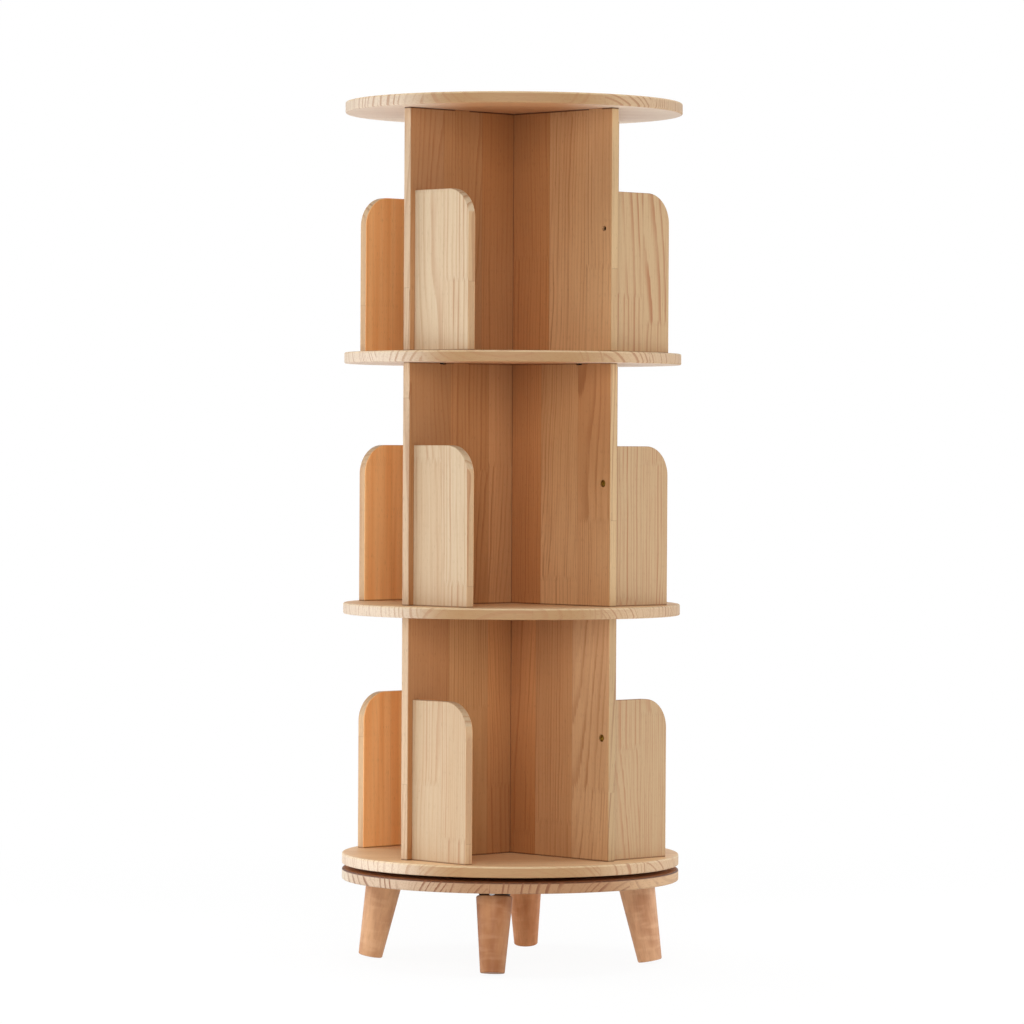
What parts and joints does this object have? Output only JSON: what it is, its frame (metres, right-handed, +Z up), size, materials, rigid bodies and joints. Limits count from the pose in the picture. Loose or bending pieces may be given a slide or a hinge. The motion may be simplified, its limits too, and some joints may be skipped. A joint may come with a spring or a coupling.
{
  "type": "revolving bookcase",
  "caption": "Revolving pine bookcase: round shelves carry upright board crosses with rounded book stops, turning on a ball turntable above a round base on splayed legs.",
  "frame": {"origin": "on the floor, on the axis of rotation", "axes": "+Z up along the axis of rotation, +X and +Y along two arms of the crosses"},
  "size_m": [0.4599, 0.46, 1.1706],
  "materials": {
    "base_pine": "clear satin lacquer",
    "shelf_pine": "clear satin lacquer",
    "board_x_pine": "clear satin lacquer",
    "board_y_pine": "clear satin lacquer",
    "stop_x_pine": "clear satin lacquer",
    "stop_y_pine": "clear satin lacquer",
    "leg_wood": "clear satin lacquer",
    "dowel_beech": "raw fluted beech",
    "socket_screws": "yellow-passivated steel",
    "dark_screws": "black oxide steel",
    "zinc_screws": "bright zinc",
    "leg_plate_steel": "black paint",
    "bolt_steel": "bright zinc",
    "turntable_steel": "zinc-plated sheet",
    "retainer_steel": "plain sheet",
    "ball_steel": "polished"
  },
  "bodies": {
    "base": {"base_board": "base_pine", "leg_1": "leg_wood", "leg_2": "leg_wood", "leg_3": "leg_wood", "leg_4": "leg_wood", "leg_bolts": "bolt_steel", "leg_plate_1": "leg_plate_steel", "leg_plate_2": "leg_plate_steel", "leg_plate_3": "leg_plate_steel", "leg_plate_4": "leg_plate_steel", "leg_plate_screws_1": "zinc_screws", "leg_plate_screws_2": "zinc_screws", "leg_plate_screws_3": "zinc_screws", "leg_plate_screws_4": "zinc_screws", "turntable_lower_plate": "turntable_steel", "turntable_lower_screws": "zinc_screws"},
    "ball_cage": {"ball_retainer": "retainer_steel", "bearing_balls": "ball_steel"},
    "carousel": {"bottom_shelf": "shelf_pine", "lower_cross_screws": "dark_screws", "lower_cross_x": "board_x_pine", "lower_cross_y": "board_y_pine", "lower_dowels": "dowel_beech", "lower_foot_screws": "dark_screws", "lower_stop_1": "stop_y_pine", "lower_stop_2": "stop_x_pine", "lower_stop_3": "stop_y_pine", "lower_stop_4": "stop_x_pine", "lower_stop_screws": "socket_screws", "middle_cross_screws": "dark_screws", "middle_cross_x": "board_x_pine", "middle_cross_y": "board_y_pine", "middle_dowels": "dowel_beech", "middle_foot_screws": "dark_screws", "middle_shelf": "shelf_pine", "middle_stop_1": "stop_y_pine", "middle_stop_2": "stop_x_pine", "middle_stop_3": "stop_y_pine", "middle_stop_4": "stop_x_pine", "middle_stop_screws": "socket_screws", "top_board": "shelf_pine", "turntable_upper_plate": "turntable_steel", "turntable_upper_screws": "zinc_screws", "upper_cross_screws": "dark_screws", "upper_cross_x": "board_x_pine", "upper_cross_y": "board_y_pine", "upper_dowels": "dowel_beech", "upper_foot_screws": "dark_screws", "upper_shelf": "shelf_pine", "upper_stop_1": "stop_y_pine", "upper_stop_2": "stop_x_pine", "upper_stop_3": "stop_y_pine", "upper_stop_4": "stop_x_pine", "upper_stop_screws": "socket_screws"}
  },
  "joints": [
    {"name": "carousel_spin", "type": "hinge", "parent": "base", "child": "carousel", "pos_m": [0, 0, 0.12965], "axis": [0, 0, 1], "continuous": true},
    {"name": "ball_cage_roll", "type": "hinge", "parent": "base", "child": "ball_cage", "pos_m": [0, 0, 0.12965], "axis": [0, 0, 1], "continuous": true}
  ],
  "couplings": [
    {"joint": "ball_cage_roll", "follows": "carousel_spin", "ratio": 0.5}
  ]
}
